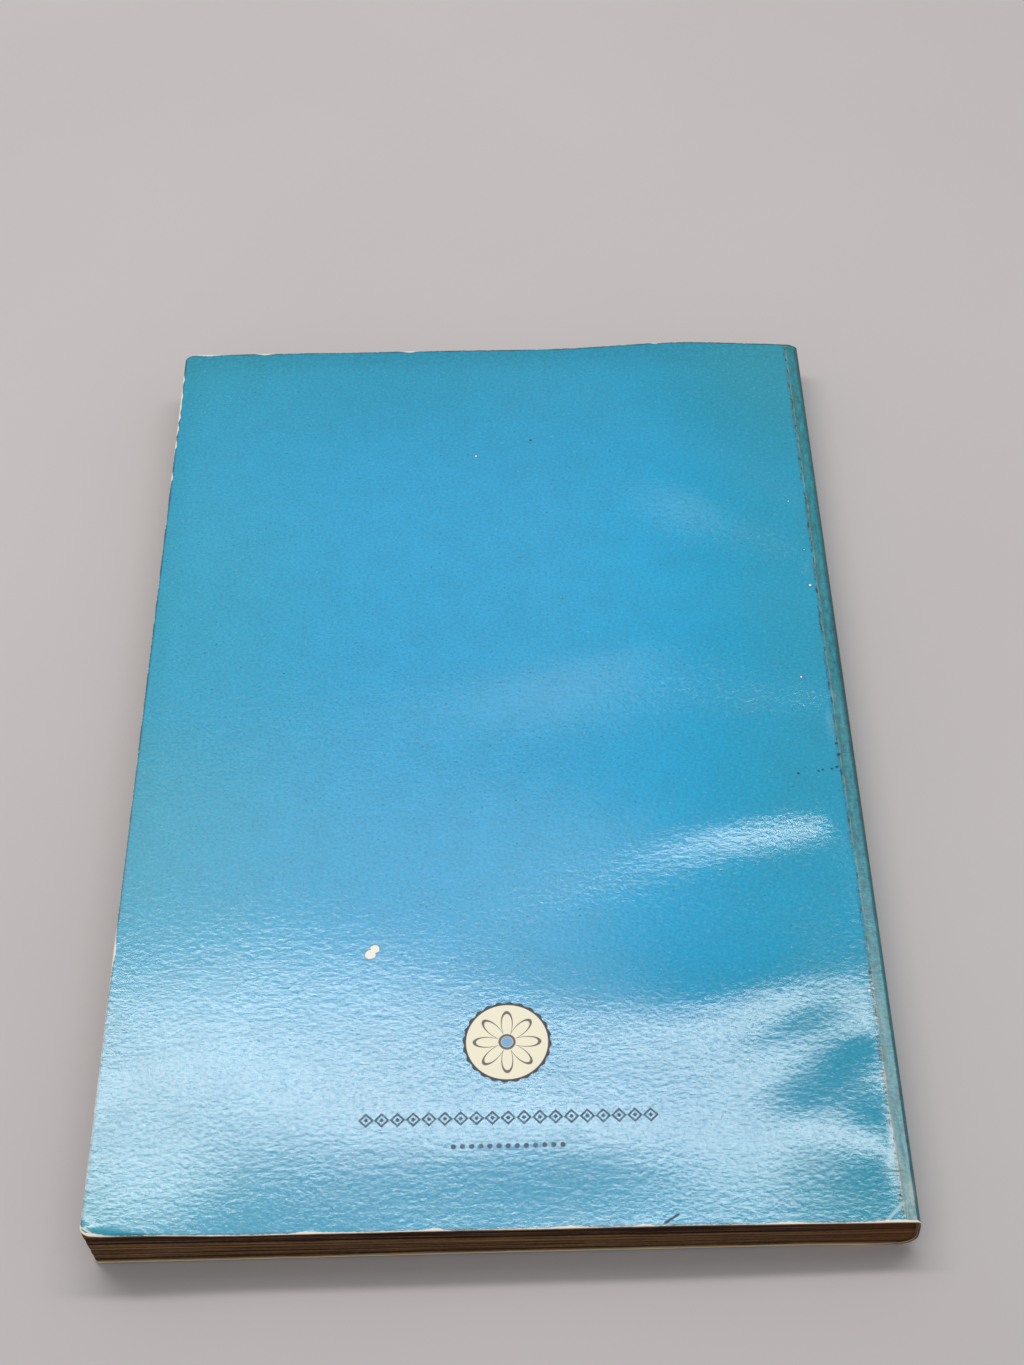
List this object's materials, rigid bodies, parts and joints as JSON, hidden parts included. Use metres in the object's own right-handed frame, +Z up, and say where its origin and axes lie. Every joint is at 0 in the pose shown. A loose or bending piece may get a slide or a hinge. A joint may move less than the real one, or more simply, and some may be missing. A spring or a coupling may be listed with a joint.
{
  "type": "paperback book",
  "caption": "Worn small-format paperback lying closed on its front cover, with both card covers hinged at score lines beside a rolled spine",
  "frame": {"origin": "on the table, under the middle of the closed book's box", "axes": "+X from the fore edge to the spine, +Y from the tail edge to the head, +Z up from the front cover to the back cover"},
  "size_m": [0.108, 0.162, 0.0101],
  "materials": {
    "aged_leaves": "browned uncoated paper, trimmed edges",
    "binding_glue": "dry amber glue",
    "cover_card": "printed card under a thin gloss varnish, worn edges"
  },
  "bodies": {
    "leaves_and_spine": {"text_block": "aged_leaves", "spine_glue": "binding_glue", "spine_cover": "cover_card"},
    "back_cover": {"back_cover": "cover_card"},
    "front_cover": {"front_cover": "cover_card"}
  },
  "joints": [
    {"name": "back_cover_hinge", "type": "hinge", "parent": "leaves_and_spine", "child": "back_cover", "pos_m": [0.0518, 0, 0.00728], "axis": [0, 1, 0], "range_deg": [0, 175]},
    {"name": "front_cover_hinge", "type": "hinge", "parent": "leaves_and_spine", "child": "front_cover", "pos_m": [0.05065, 0, -0.00003], "axis": [0, -1, 0], "range_deg": [0, 175]}
  ]
}
